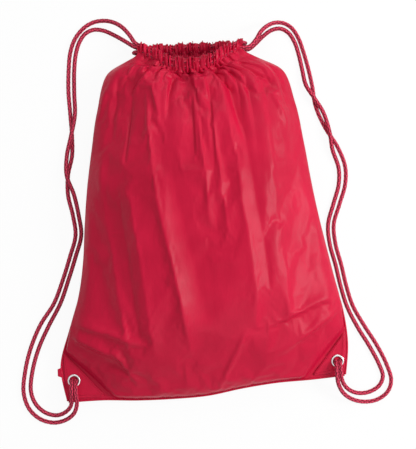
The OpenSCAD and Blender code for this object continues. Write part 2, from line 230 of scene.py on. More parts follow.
right_inner_route = [
    (0.0583, 0.2055, 0.0124), (0.0715, 0.2058, 0.0105), (0.080, 0.212, 0.008),
    (0.090, 0.2215, 0.0045), (0.101, 0.229, flat), (0.112, 0.2305, flat), (0.1215, 0.225, flat),
    (0.1285, 0.2135, flat), (0.133, 0.198, flat), (0.1365, 0.179, 0.003), (0.140, 0.160, 0.005),
    (0.1495, 0.143, 0.0078), (0.160, 0.125, 0.005), (0.1665, 0.099, 0.0078),
    (0.169, 0.080, 0.005), (0.176, 0.056, flat), (0.175, 0.036, flat), (0.168, 0.014, flat),
    (0.160, -0.012, flat), (0.161, -0.036, flat), (0.167, -0.062, flat), (0.172, -0.088, flat),
    (0.179, -0.114, flat), (0.191, -0.140, flat), (0.204, -0.163, flat), (0.215, -0.186, flat),
    (0.219, -0.201, flat), (0.214, -0.212, flat), (0.202, -0.219, flat), (0.189, -0.220, 0.004),
    (0.177, -0.215, lip - 0.005), (0.169, -0.206, lip + 0.002), (0.1658, -0.196, lip + 0.0075),
    (0.1654, -0.189, lip + 0.009), (0.1654, -0.183, lip + 0.007),
    (0.1654, -0.1786, lip + 0.0015), (0.1654, -0.178, knot_top),
]


def smooth_line(points, step):
    """Points every step along a smooth curve through the given ones."""
    points = np.array(points, float)
    ends = np.vstack([2 * points[0] - points[1], points, 2 * points[-1] - points[-2]])
    fine = []
    for a, b, c, d in zip(ends, ends[1:], ends[2:], ends[3:]):
        knots = np.cumsum([0.0] + [max(1e-6, np.linalg.norm(q - p)) ** 0.5
                                   for p, q in ((a, b), (b, c), (c, d))])
        t = np.linspace(knots[1], knots[2], 40, endpoint=False)[:, None]

        def between(p, q, i, j):
            span = knots[j] - knots[i]
            return (knots[j] - t) / span * p + (t - knots[i]) / span * q

        low, middle, high = between(a, b, 0, 1), between(b, c, 1, 2), between(c, d, 2, 3)
        fine.append(between(between(low, middle, 0, 2), between(middle, high, 1, 3), 1, 2))
    fine = np.vstack(fine + [points[-1:]])
    run = np.concatenate([[0], np.cumsum(np.linalg.norm(np.diff(fine, axis=0), axis=1))])
    stops = np.linspace(0, run[-1], max(4, int(run[-1] / step)) + 1)
    return np.stack([np.interp(stops, run, fine[:, k]) for k in range(3)], axis=1), stops


def carried_frames(line):
    """Directions along a line and two square to it that turn as little as they can."""
    forward = np.gradient(line, axis=0)
    forward /= np.linalg.norm(forward, axis=1)[:, None]
    side = np.zeros_like(line)
    guess = np.array([0.0, 0.0, 1.0]) if abs(forward[0][2]) < 0.9 else np.array([1.0, 0.0, 0.0])
    for k, ahead in enumerate(forward):
        guess = guess - ahead * guess.dot(ahead)
        guess /= np.linalg.norm(guess)
        side[k] = guess
    return forward, side, np.cross(forward, side)


def mesh_piece(name, points, faces, uv=None, uv_name="cloth"):
    """A new object at the origin from points and four-sided faces, with a point's UV if given."""
    mesh = bpy.data.meshes.new(name)
    mesh.from_pydata([tuple(p) for p in np.asarray(points, float)], [],
                     [tuple(int(i) for i in f) for f in faces])
    if uv is not None:
        layer = mesh.uv_layers.new(name=uv_name)
        corners = np.empty(len(mesh.loops), np.int32)
        mesh.loops.foreach_get("vertex_index", corners)
        layer.data.foreach_set("uv", np.asarray(uv, np.float32)[corners].ravel())
    mesh.polygons.foreach_set("use_smooth", [True] * len(mesh.polygons))
    piece = bpy.data.objects.new(name, mesh)
    bpy.context.collection.objects.link(piece)
    return piece


def turn_outwards(piece):
    """Makes every face of a closed shape point out of it."""
    shape = bmesh.new()
    shape.from_mesh(piece.data)
    bmesh.ops.recalc_face_normals(shape, faces=shape.faces)
    shape.to_mesh(piece.data)
    shape.free()


def braided_cord(name, route, step=0.0008, lay=0.026, loft=1.0, pinched=0.0):
    """Eight flat carriers that wind both ways round the route, each over one and under one."""
    line, run = smooth_line(route, step)
    forward, side, other = carried_frames(line)
    count = len(line)
    ends = 1 - np.clip((run[-1] - run) / 0.018, 0, 1) if pinched else 0 * run
    diameter = (cord_diameter * (loft - (loft - pinched) * ends))[:, None]
    round_angles = np.arange(6) * math.pi / 3
    turning = 2 * math.pi / lay
    middle, swing = carrier_ring * diameter[:, 0], 0.055 * diameter[:, 0]
    half_width, half_depth = 0.235 * diameter[:, :, None], 0.105 * diameter[:, :, None]
    points, faces, uv = [], [], []

    def add_tube(rings, across):
        start = sum(len(p) for p in points)
        around = rings.shape[1]
        points.append(rings.reshape(-1, 3))
        uv.append(np.stack([np.tile(across, count), np.repeat(run, around)], axis=1))
        k, s = np.meshgrid(np.arange(count - 1), np.arange(around), indexing="ij")
        corner = start + k * around + s
        beside = start + k * around + (s + 1) % around
        faces.extend(np.stack([corner, beside, beside + around, corner + around], axis=-1)
                     .reshape(-1, 4).tolist())
        faces.append([start + around - 1 - s for s in range(around)])
        faces.append([start + (count - 1) * around + s for s in range(around)])

    for way in (1, -1):
        for carrier in range(4):
            angle = way * turning * run + carrier * math.pi / 2 + (0.4 if way < 0 else 0.0)
            radius = middle + swing * way * np.cos(4 * turning * run)
            outward = np.cos(angle)[:, None] * side + np.sin(angle)[:, None] * other
            around = -np.sin(angle)[:, None] * side + np.cos(angle)[:, None] * other
            slope = math.atan(carrier_ring * cord_diameter * turning)
            wide = around * math.cos(slope) - forward * way * math.sin(slope)
            rings = (line + outward * radius[:, None])[:, None, :] \
                + outward[:, None, :] * half_depth * np.cos(round_angles)[None, :, None] \
                + wide[:, None, :] * half_width * np.sin(round_angles)[None, :, None]
            add_tube(rings, round_angles / (2 * math.pi))
    core_angles = np.arange(8) * math.pi / 4
    core = line[:, None, :] + 0.29 * diameter[:, :, None] * (
        side[:, None, :] * np.cos(core_angles)[None, :, None]
        + other[:, None, :] * np.sin(core_angles)[None, :, None])
    add_tube(core, core_angles / (2 * math.pi))
    piece = mesh_piece(name, np.vstack(points), faces, np.vstack(uv), "yarn")
    # How far each point stands out from the cord's middle, kept as the attribute height; the yarn's
    # colour uses it to paint shade into the gaps between the carriers and light onto their tops.
    away = np.concatenate([(np.linalg.norm(p.reshape(count, -1, 3) - line[:, None, :], axis=2)
                            / (0.5 * diameter)).ravel() for p in points])
    height = piece.data.attributes.new("height", "FLOAT", "POINT")
    height.data.foreach_set("value", np.clip((away - 0.80) / 0.19, 0, 1).astype(np.float32))
    turn_outwards(piece)
    piece.data.materials.append(cord_finish)
    return piece, line


# ---- Knots and cut ends ----
# Behind each eyelet both strands are tied in one round knot, which can't pull through, and
# the two ends are cut about two centimetres past it.
knots = {}
tail_length = 0.0216
for side_name, lean, bearings in (("left", 0.4, (24, 56)), ("right", 2.2, (124, 156))):
    low, high = (Vector(p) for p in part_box(f"cord_{side_name}_knot"))
    centre = (low + high) / 2
    reach = (high.x - low.x) / 2 - cord_diameter / 2
    rise = (high.z - low.z) / 2 - cord_diameter / 2
    turns = np.linspace(0, 2 * math.pi, 49)[:-1] + lean
    trefoil = np.stack([centre.x + reach / 3 * (np.sin(turns) + 2 * np.sin(2 * turns)),
                        centre.y + reach / 3 * (np.cos(turns) - 2 * np.cos(2 * turns)),
                        centre.z - rise * np.sin(3 * turns)], axis=1)
    knot, _ = braided_cord(f"knot_{side_name}", trefoil)
    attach(knot, "bag")
    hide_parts(f"cord_{side_name}_knot")
    knots[side_name] = knot
    for number, bearing in enumerate(bearings):
        way = Vector((math.cos(math.radians(bearing)), math.sin(math.radians(bearing)), 0))
        start = Vector((centre.x, centre.y, flat)) + way * 0.0050
        route = [start + way * (tail_length * share) for share in (0, 0.34, 0.67, 1)]
        tail, _ = braided_cord(f"cut_end_{side_name}_{number + 1}", route)
        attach(tail, "bag")
        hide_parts(f"cord_{side_name}_tails")

for name, route, length in (
    ("cord_left_outer_strand", left_outer_route, 0.70),
    ("cord_left_inner_strand", left_inner_route, 0.66),
    ("cord_right_outer_strand", right_outer_route, 0.68),
    ("cord_right_inner_strand", right_inner_route, 0.63),
):
    strand, strand_line = braided_cord(name + "_braid", route, loft=1.17, pinched=0.97)
    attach(strand, "bag")
    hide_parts(name)
    knots["left" if "left" in name else "right"]

# ---- Cord inside the casings ----
# Round the mouth both cords lie side by side in the front and back casings. At the far end of
# the mouth each one turns from one casing into the other.
casing_low, casing_high = (Vector(p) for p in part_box("front_casing"))
back_low, back_high = (Vector(p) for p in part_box("back_casing"))
mouth_left, mouth_right = casing_low.x, casing_high.x
casing_height, casing_depth = 0.017, 0.008
mouth_y = casing_high.y - casing_height / 2
rim_sag = casing_high.y - casing_low.y - casing_height
rim_height = casing_high.z - casing_depth / 2
front_end_height = casing_low.z + casing_depth / 2
back_end_height = back_high.z - casing_depth / 2
back_bow = back_high.y - back_low.y - casing_height
cord_pitch = 0.006


def mix(a, b, share):
    return a + (b - a) * share


def ease(share):
    share = np.clip(share, 0.0, 1.0)
    return share * share * (3 - 2 * share)


def bow(u):
    return np.sin(math.pi * np.clip(u, 0.0, 1.0))


def front_rim(u):
    """Middle line of the front casing at shares u across the mouth."""
    return np.stack([mix(mouth_left, mouth_right, u), mouth_y - rim_sag * bow(u),
                     mix(front_end_height, rim_height, bow(u) ** 0.8)], axis=-1)


def back_rim(u):
    """Middle line of the back casing, which comes down to the floor between its ends."""
    return np.stack([mix(mouth_left, mouth_right, u), mouth_y + back_bow * bow(u),
                     mix(back_end_height, casing_depth / 2, ease(1.5 * bow(u)))], axis=-1)


# The cloth and cord near the front rim follow it, those on the back and the sides stay
across = np.linspace(0, 1, 13)
for side_name, place in (("left", 1), ("right", -1)):
    shift = np.array([0.0, place * cord_pitch / 2, 0.0])
    front_run, _ = braided_cord(f"cord_{side_name}_front_run_braid", front_rim(across) + shift)
    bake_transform(front_run)
    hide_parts(f"cord_{side_name}_front_run")
    back_run, _ = braided_cord(f"cord_{side_name}_back_run_braid", back_rim(across) + shift)
    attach(back_run, "bag")
    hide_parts(f"cord_{side_name}_back_run")
    end = 1.0 if side_name == "left" else 0.0
    top, low = front_rim(end) + shift, back_rim(end) + shift
    radius = (top[2] - low[2]) / 2
    outward = 1 if side_name == "left" else -1
    turn = [(top[0] + outward * (0.0003 + radius * math.sin(a)), top[1],
             low[2] + radius + radius * math.cos(a)) for a in np.linspace(0, math.pi, 11)]
    bight, _ = braided_cord(f"cord_{side_name}_turn", turn)
    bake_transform(bight)
    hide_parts(f"cord_{side_name}_bight")

# ---- Front and back panels ----
# Two cuts of thin crimson nylon, sewn inside out along the sides and the base. The drawn-up
# mouth gathers them into fine pleats, which run together into long soft folds lower down.
seam_low, seam_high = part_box("side_seam_left")
seam_height = (seam_low[2] + seam_high[2]) / 2
bag_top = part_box("front_panel")[1][2]
panel_top_y = mouth_y - casing_height / 2
left_edge = [(-0.166, -0.213), (-0.172, -0.170), (-0.160, -0.128), (-0.146, -0.088),
             (-0.138, -0.045), (-0.134, 0.0), (-0.129, 0.045), (-0.122, 0.090),
             (-0.114, 0.135), (-0.098, 0.184), (mouth_left, panel_top_y)]
right_edge = [(0.171, -0.195), (0.175, -0.157), (0.171, -0.117), (0.161, -0.077),
              (0.152, -0.035), (0.144, 0.005), (0.137, 0.048), (0.131, 0.091),
              (0.123, 0.138), (0.107, 0.181), (mouth_right, panel_top_y)]
base_edge = [(-0.166, -0.213), (-0.124, -0.212), (-0.082, -0.214), (-0.038, -0.214),
             (0.004, -0.212), (0.046, -0.205), (0.088, -0.200), (0.130, -0.198),
             (0.171, -0.195)]
left_diagonal = [(-0.172, -0.150), (-0.116, -0.207)]
right_diagonal = [(0.128, -0.193), (0.174, -0.140)]
slit_from = 0.9  # share of the length at which the sides stop being sewn
neck_from = 0.72  # share at which the cloth starts to run down to the mouth
panel_length = 0.41
tuck = 0.0052  # how far a panel's top reaches into its casing
cloth_thickness = 0.0004
sheet_width, sheet_length = 0.36, 0.44


def along(points, share):
    """Points at given shares of a smooth curve through evenly counted points."""
    points = np.array(points, float)
    last = len(points) - 1
    place = np.clip(np.asarray(share, float) * last, 0, last)
    i = np.minimum(np.floor(place).astype(int), last - 1)
    t = (place - i)[..., None]
    a, b = points[np.maximum(i - 1, 0)], points[i]
    c, d = points[i + 1], points[np.minimum(i + 2, last)]
    return 0.5 * (2 * b + (c - a) * t + (2 * a - 5 * b + 4 * c - d) * t ** 2
                  + (3 * b - a - 3 * c + d) * t ** 3)


def panel_plan(u, v, top_shift):
    base = along(base_edge, u)
    chord = mix(np.array(base_edge[0]), np.array(base_edge[-1]), u[..., None])
    plan = mix(along(left_edge, v), along(right_edge, v), u[..., None])
    plan = plan + (base - chord) * ((1 - v) ** 2)[..., None]
    plan[..., 1] += top_shift * bow(u) * v * v
    return plan


def past(line, plan):
    a, b = np.array(line[0]), np.array(line[1])
    d = (b - a) / np.linalg.norm(b - a)
    return (plan[..., 1] - a[1]) * d[0] - (plan[..., 0] - a[0]) * d[1]


def past_corners(plan):
    return np.minimum(past(left_diagonal, plan), past(right_diagonal, plan))


pleat_count = 26


def pleat(u):
    """Height, from -1 to 1, of the fine gathers that the cords make, at shares u of the mouth."""
    wander = 1.9 * np.sin(2 * math.pi * 2.3 * u + 0.6) + 1.5 * np.sin(2 * math.pi * 5.1 * u + 2.1)
    wave = np.sin(2 * math.pi * pleat_count * u + wander)
    return wave * (0.72 + 0.28 * np.sin(2 * math.pi * 4.3 * u + 1.1))


def rim_wave(u, rise):
    """How far the cloth at the rim stands up or down, rise from 0 at the stitches to 1 on top."""
    broad = np.sin(2 * math.pi * 6.2 * u + 2 * np.sin(2 * math.pi * 1.7 * u + 0.5))
    return mix(0.0017, 0.0029, rise) * pleat(u) + 0.0009 * broad, broad


def gathers(u, count, seed):
    """Rounded ridges with sharp valleys between them, about level with the cloth on average."""
    wander = 0.55 * np.sin(2 * math.pi * (count * 0.21) * u + seed) \
        + 0.35 * np.sin(2 * math.pi * (count * 0.37) * u + 2.3 * seed)
    strength = 0.65 + 0.35 * np.sin(2 * math.pi * (count * 0.29) * u + 1.7 * seed)
    return (np.abs(np.sin(math.pi * count * u + wander * 2.2)) ** 0.8 - 0.66) * strength


# Long folds of the front: shares across at the top, middle and bottom, shares along where
# the fold starts and ends, half its width and its height
long_folds = [
    (0.20, 0.34, 0.49, 0.10, 1.02, 0.0095, 0.0074),
    (0.26, 0.42, 0.56, 0.16, 0.90, 0.018, -0.0030),
    (0.10, 0.10, 0.34, 0.06, 0.72, 0.012, 0.0045),
    (0.15, 0.165, 0.36, 0.08, 0.66, 0.009, -0.0030),
    (0.16, 0.22, 0.385, 0.08, 0.66, 0.011, 0.0040),
    (0.45, 0.50, 0.52, 0.16, 0.66, 0.030, -0.0040),
    (0.60, 0.68, 0.645, 0.12, 0.98, 0.012, 0.0045),
    (0.66, 0.74, 0.70, 0.20, 0.95, 0.011, -0.0030),
    (0.78, 0.82, 0.745, 0.12, 0.97, 0.012, 0.0045),
    (0.44, 0.53, 0.47, 0.42, 0.98, 0.010, 0.0030),
    (0.52, 0.60, 0.57, 0.34, 0.98, 0.009, 0.0025),
    (0.90, 0.91, 0.90, 0.50, 0.98, 0.010, 0.0030),
    (0.06, 0.07, 0.09, 0.52, 0.98, 0.010, 0.0030),
]


# Families of gathers below the casing: ridges across the bag, how far from the rim they
# stand tallest, their height and a number that sets their places
gather_families = [(17, 0.008, 0.0052, 1.0), (11, 0.017, 0.0064, 2.6), (7, 0.034, 0.0040, 4.4),
                   (5, 0.070, 0.0020, 0.7)]

# Sharp creases that run out from the gathers and the corners: where each starts and ends on
# the front, half its width, its height and how much of a step it makes in the cloth
crease_strength = 1.45
sharp_creases = [
    ((-0.0217, 0.1815), (-0.0110, 0.1640), 0.0045, -0.0030, 0.4),
    ((-0.0234, 0.1760), (-0.0310, 0.1250), 0.0060, -0.0030, 0.9),
    ((0.0240, 0.1780), (0.0429, 0.1481), 0.0055, -0.0042, 0.8),
    ((0.0390, 0.1560), (0.0540, 0.1000), 0.0080, -0.0034, 0.7),
    ((0.0430, 0.1780), (0.0721, 0.1440), 0.0050, -0.0030, -0.6),
    ((0.0540, 0.1840), (0.0860, 0.1600), 0.0045, -0.0025, 0.5),
    ((-0.0387, 0.1922), (-0.0570, 0.1680), 0.0045, -0.0032, -0.6),
    ((-0.0520, 0.1760), (-0.0720, 0.1500), 0.0065, 0.0026, 0.5),
    ((-0.0605, 0.1896), (-0.0800, 0.1680), 0.0050, 0.0026, -0.4),
    ((0.0020, 0.1700), (0.0060, 0.1350), 0.0060, 0.0020, 0.5),
    ((0.0150, 0.1660), (0.0180, 0.1400), 0.0040, 0.0018, -0.5),
    ((-0.0480, 0.1640), (-0.0440, 0.1300), 0.0080, 0.0024, 0.6),
    ((0.0860, 0.1500), (0.1060, 0.1100), 0.0080, 0.0022, 0.4),
    ((-0.0980, 0.1560), (-0.1120, 0.1120), 0.0060, -0.0028, 0.6),
    ((-0.1560, -0.1330), (-0.1000, -0.1620), 0.0080, 0.0042, 0.7),
    ((-0.1500, -0.1180), (-0.0780, -0.1420), 0.0095, 0.0030, 0.6),
    ((-0.1180, -0.1680), (-0.0700, -0.1880), 0.0070, -0.0026, 0.5),
    ((-0.1080, -0.1500), (-0.0820, -0.1900), 0.0060, 0.0026, 0.6),
    ((0.1600, -0.1180), (0.1020, -0.1560), 0.0090, 0.0032, -0.6),
    ((0.1560, -0.0980), (0.0900, -0.1240), 0.0100, 0.0022, -0.5),
    ((0.0500, -0.1300), (0.0200, -0.1960), 0.0080, 0.0022, 0.5),
]


def fold_height(u, v, width):
    """How far the cloth of the front stands out of its smooth shape, in metres."""
    from_rim = (1 - v) * panel_length
    out = 0 * u
    for count, peak, height, seed in gather_families:
        reach = peak * (1 + 0.45 * np.sin(2 * math.pi * (0.23 * count) * u + 3.1 * seed))
        swell = (from_rim / reach) * np.exp(1 - from_rim / reach)
        out = out + height * swell * gathers(u + 0.10 * (u - 0.5) * (1 - v), count, seed)
    for top, middle, bottom, start, stop, half, height in long_folds:
        centre = top * v * (2 * v - 1) + middle * 4 * v * (1 - v) + bottom * (1 - v) * (1 - 2 * v)
        away = (u - centre) * width / half
        away = np.where(away < 0, away * 0.8, away * 1.3)
        shape = np.exp(-np.sqrt(0.04 + away ** 2) + 0.2)
        out = out + height * shape * ease((v - start) / 0.16) * ease((stop - v) / 0.10)
    return out


def crease_height(plan):
    """Height of the sharp creases at places on the front, in metres."""
    out = np.zeros(plan.shape[:2])
    for first, last, half, height, step in sharp_creases:
        first, last = np.array(first), np.array(last)
        length = np.linalg.norm(last - first)
        way = (last - first) / length
        gone = ((plan - first) @ way) / length
        aside = ((plan - first) @ np.array([-way[1], way[0]])) / half
        shape = np.exp(-np.sqrt(0.03 + aside ** 2) * 1.3) * (1 + step * np.tanh(2.5 * aside))
        fade = ease((gone + 0.12) / 0.3) * ease((1.25 - gone) / 0.6)
        out = out + crease_strength * height * shape * fade
    return out


dice = np.random.default_rng(11)
ripples = [(dice.uniform(0, 2 * math.pi), dice.uniform(120, 420), dice.uniform(0, 2 * math.pi))
           for _ in range(16)]


def small_creases(x, y):
    """Faint crossing ripples of crisp thin cloth, from -1 to 1."""
    ripple = sum(np.sin(k * (x * math.cos(a) + 0.6 * y * math.sin(a)) + s
                        + 1.5 * np.sin(0.31 * k * (y * math.cos(a) - x * math.sin(a)) + 2 * s))
                 for a, k, s in ripples)
    return ripple / 8


def panel_normals(points):
    du = np.gradient(points, axis=1)
    dv = np.gradient(points, axis=0)
    normal = np.cross(du, dv)
    return normal / np.maximum(np.linalg.norm(normal, axis=2), 1e-12)[..., None]


def grid_faces(nu, nv, wrap=False):
    """Faces of a grid of nu by nv cells; a wrapped one is closed along u."""
    row = nu if wrap else nu + 1
    j, i = np.meshgrid(np.arange(nv), np.arange(nu), indexing="ij")
    right = (i + 1) % row if wrap else i + 1
    return np.stack([j * row + i, j * row + right, (j + 1) * row + right, (j + 1) * row + i],
                    axis=-1).reshape(-1, 4)


# How much longer the front is cut than it looks near the mouth and lower down, how firmly its
# outer rows of points are held, and how far a point may move
most_spare, least_spare = 0.062, 0.009
held_by_row = (1.0, 0.6, 0.4, 0.25, 0.15, 0.03)
most_move = 0.005
settling_frames = 14


def settled(points):
    """Lets the front go slack by a few percent, so that it buckles into small wrinkles."""
    coarse = points[::2, ::2]
    rows, columns = coarse.shape[:2]
    cloth = mesh_piece("settling", coarse.reshape(-1, 3), grid_faces(columns - 1, rows - 1))
    hold = cloth.vertex_groups.new(name="held")
    for j in range(rows):
        for i in range(columns):
            row = min(i, columns - 1 - i, j, rows - 1 - j, len(held_by_row) - 1)
            hold.add([j * columns + i], held_by_row[row], "REPLACE")
    v = np.linspace(0, 1, rows)[:, None]
    inward = np.minimum(np.arange(columns), np.arange(columns)[::-1])[None]
    spare = mix(least_spare, most_spare, ease((v - 0.60) / 0.28)) * ease((inward - 1) / 16) + 0.002
    firm = cloth.vertex_groups.new(name="firm")
    for k, share in enumerate((1 - spare / most_spare).ravel()):
        firm.add([k], float(np.clip(share, 0, 1)), "REPLACE")
    slack = cloth.modifiers.new("slack", "CLOTH")
    rules = slack.settings
    rules.quality = 7
    rules.mass = 0.12
    rules.tension_stiffness = rules.compression_stiffness = 40
    rules.shear_stiffness = 15
    rules.bending_stiffness = 0.003
    rules.vertex_group_mass = "held"
    rules.pin_stiffness = 0.6
    rules.vertex_group_shrink = "firm"
    rules.shrink_min = -most_spare
    rules.shrink_max = 0.0
    rules.effector_weights.gravity = 0.0
    slack.collision_settings.use_self_collision = False
    for frame_number in range(1, settling_frames + 1):
        bpy.context.scene.frame_set(frame_number)
    loose = cloth.evaluated_get(bpy.context.evaluated_depsgraph_get()).data
    moved = np.empty(len(loose.vertices) * 3, np.float32)
    loose.vertices.foreach_get("co", moved)
    move = moved.reshape(rows, columns, 3) - coarse
    bpy.data.objects.remove(cloth)
    bpy.context.scene.frame_set(1)
    far = np.linalg.norm(move, axis=2)[..., None]
    move = move * np.minimum(1, most_move / np.maximum(far, 1e-9))
    fine = np.zeros_like(points)
    fine[::2, ::2] = move
    fine[1::2, ::2] = (move[:-1] + move[1:]) / 2
    fine[:, 1::2] = (fine[:, :-1:2] + fine[:, 2::2]) / 2
    return points + fine


def shares_of(nu, nv):
    """Shares along and across a panel for every point of its grid."""
    return np.meshgrid(np.linspace(0, 1, nv + 1), np.linspace(0, 1, nu + 1), indexing="ij")


def front_points(nu, nv):
    v, u = shares_of(nu, nv)
    plan = panel_plan(u, v, -rim_sag)
    width = (along(right_edge, v) - along(left_edge, v))[..., 0]
    crown = np.maximum(0, 1 - np.abs(2 * u - 1) ** 2.3) ** 0.56
    swell = np.sin(math.pi / 2 * np.minimum(1, v / 0.36)) ** 0.7 \
        * mix(1, 0.72, ease((v - 0.55) / 0.45))
    share = np.clip(past_corners(plan) / 0.060, 0, 1)
    body = (bag_top - 0.006 - seam_height) * crown * swell * (1 - (1 - share) ** 2.4)
    rim = front_rim(u)[..., 2]
    at_side = ease((v - slit_from) / (1 - slit_from))
    at_middle = ease((v - neck_from) / (1 - neck_from))
    z = mix(seam_height + body, rim, mix(at_side, at_middle, ease(1.6 * bow(u))))
    points = np.concatenate([plan, z[..., None]], axis=-1)
    from_side = np.minimum(u, 1 - u) * width
    overhang = 0.0052 * ease(from_side / 0.0016) * np.exp(-from_side / 0.020) * ease(body / 0.012)
    points[..., 0] += np.sign(u - 0.5) * overhang * ease((slit_from + 0.04 - v) / 0.06)
    corner = past_corners(plan)
    points[..., 2] += 0.0080 * ease(corner / 0.007) * np.exp(-np.maximum(corner, 0) / 0.045) \
        * ease(from_side / 0.006) * ease(v * panel_length / 0.008)
    at_edges = ease(from_side / 0.022) * ease(v / 0.05) * ease(share * 2.0)
    fold = fold_height(u, v, width) + crease_height(plan) * ease((0.985 - v) / 0.03)
    fold = fold * mix(at_edges, 1.0, ease((v - 0.93) / 0.07))
    fold = fold + 0.0007 * small_creases(plan[..., 0], plan[..., 1]) * at_edges
    points = points + panel_normals(points) * fold[..., None]
    from_rim = (1 - v) * panel_length
    points[..., 2] += np.exp(-from_rim / 0.009) * rim_wave(u, 0.0)[0]
    points[..., 1] += tuck * ease((v - 0.97) / 0.03)
    points = settled(points)
    return points, u, v


def back_points(nu, nv):
    v, u = shares_of(nu, nv)
    plan = panel_plan(u, v, back_bow)
    width = (along(right_edge, v) - along(left_edge, v))[..., 0]
    share = ease(past_corners(plan) / 0.055)
    lift = np.maximum(np.maximum(1 - ease(np.minimum(u, 1 - u) * width / 0.040),
                                 1 - ease(v * panel_length / 0.034)), 1 - share)
    z = mix(seam_height * lift, back_rim(u)[..., 2], ease((v - 0.85) / 0.15)) + 0.0004 * (1 - lift)
    points = np.concatenate([plan, z[..., None]], axis=-1)
    from_rim = (1 - v) * panel_length
    fold = np.exp(-from_rim / 0.012) * rim_wave(u, 0.0)[0]
    fold = fold + 0.0012 * (1 + np.sin(2 * math.pi * 9 * u + 2 * np.sin(7 * v))) \
        * np.exp(-from_rim / 0.09) * ease(np.minimum(u, 1 - u) * 8)
    fold = fold + 0.0009 * (1 + small_creases(plan[..., 0], plan[..., 1])) * (1 - lift) \
        * ease((1 - v) / 0.1)
    points[..., 2] = np.maximum(points[..., 2] + fold, 0.0006)
    points[..., 1] += tuck * ease((v - 0.97) / 0.03)
    return points, u, v


thread_pitch = 0.00042


def thin_nylon(name, shadow, light):
    """Crisp plain-woven nylon: fine threads, a soft sheen and faint slubs."""
    cloth = Finish(name, Specular_IOR_Level=0.16)
    x, y, _ = cloth.split(cloth.node("UVMap", {"uv_map": "cloth"}))
    place = cloth.node("TexCoord", None, None, 3)
    warp = (x * (2 * math.pi / thread_pitch)).sine()
    weft = (y * (2 * math.pi / thread_pitch)).sine()
    weave = warp.size() * 0.5 + weft.size() * 0.5
    drawn_out = cloth.node("Mapping", None, {"Vector": place, "Scale": (700.0, 60.0, 700.0)})
    slub = cloth.noise(drawn_out, 1.0, 2.0)
    cloud = cloth.noise(place, 14.0, 3.0, 0.55)
    rumpled = cloth.node("Mapping", None, {"Vector": place, "Scale": (90.0, 34.0, 90.0)})
    crease = cloth.noise(rumpled, 1.0, 4.0, 0.6)
    tone = cloud * 0.7 + slub * 0.2 + weave * 0.1
    cloth.feed(cloth.surface.inputs["Base Color"],
               cloth.node("ValToRGB", {"stops": [(0.30, shadow), (0.68, light)]}, {"Fac": tone}))
    cloth.feed(cloth.surface.inputs["Roughness"], cloud * 0.12 + 0.31 + weave * 0.03)
    cloth.bump(crease + slub * 0.12 + weave * 0.06, 0.30, 0.0012)
    return cloth.material


nylon = thin_nylon("crimson_nylon", (0.44, 0.003, 0.030), (0.56, 0.006, 0.042))


def give_wall(piece, thickness):
    wall = piece.modifiers.new("cloth", "SOLIDIFY")
    wall.thickness = thickness
    wall.offset = -1.0


panels = {}
for name, made, nu, nv, turned in (("front_panel", front_points, 190, 200, False),
                                   ("back_panel", back_points, 130, 140, True)):
    points, u, v = made(nu, nv)
    faces = grid_faces(nu, nv)
    flat_uv = np.stack([u * sheet_width, v * sheet_length], axis=-1).reshape(-1, 2)
    panel = mesh_piece(name + "_cloth", points.reshape(-1, 3),
                       faces[:, ::-1] if turned else faces, flat_uv)
    give_wall(panel, cloth_thickness)
    panel.data.materials.append(nylon)
    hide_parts(name)
    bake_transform(panel)
    panels[name] = points

# ---- Casings ----
# The top of each panel is folded over and sewn down as a channel. Drawn up on the cords it
# stands in tight upright ruffles, pinched along the row of stitches below them.
casing_end = 0.045  # how far each casing runs past the mouth's corners, as a share of the mouth


def casing_cloth(name, rim):
    nu, ring = 420, 26
    u = np.linspace(-casing_end, 1 + casing_end, nu + 1)
    angle = np.arange(ring) * 2 * math.pi / ring
    uu, aa = np.meshgrid(u, angle, indexing="ij")
    rise = (np.sin(aa) + 1) / 2
    half_thick = 0.5 * casing_depth * mix(0.22, 0.86, ease(rise * 2.6)) \
        * mix(1.0, 0.55, ease((rise - 0.6) / 0.4))
    raised, broad = rim_wave(uu, rise)
    fine = np.sin(2 * math.pi * 57 * uu + 3 * np.sin(2 * math.pi * 4 * uu))
    drawn_in = mix(0.80, 1.0, ease(1 - np.abs(uu - 0.5) / (0.5 + casing_end)) ** 0.25)
    points = rim(uu)
    points[..., 0] += 0.0009 * np.sin(2 * math.pi * 19 * uu + 2.4 * rise) * (0.3 + rise)
    points[..., 1] += (0.5 * casing_height * np.sin(aa) + 0.0008 * rise * pleat(uu)
                       + 0.0002 * rise * fine + 0.0013 * broad) * drawn_in
    points[..., 2] += half_thick * np.cos(aa) + raised + 0.0006 * rise * fine
    points[..., 2] = np.maximum(points[..., 2], cloth_thickness)
    uv = np.stack([uu * sheet_width, aa / (2 * math.pi) * 0.05], axis=-1).reshape(-1, 2)
    casing = mesh_piece(name + "_cloth", points.reshape(-1, 3), grid_faces(ring, nu, wrap=True), uv)
    turn_outwards(casing)
    give_wall(casing, cloth_thickness)
    casing.data.materials.append(nylon)
    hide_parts(name)
    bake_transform(casing)


casing_cloth("front_casing", front_rim)
casing_cloth("back_casing", back_rim)

# ---- Seams ----
# Along the sides and the base both panels' edges are sewn and turned, which leaves a narrow
# firm ridge that puckers a little along its thread.
seam_radius = 0.0012


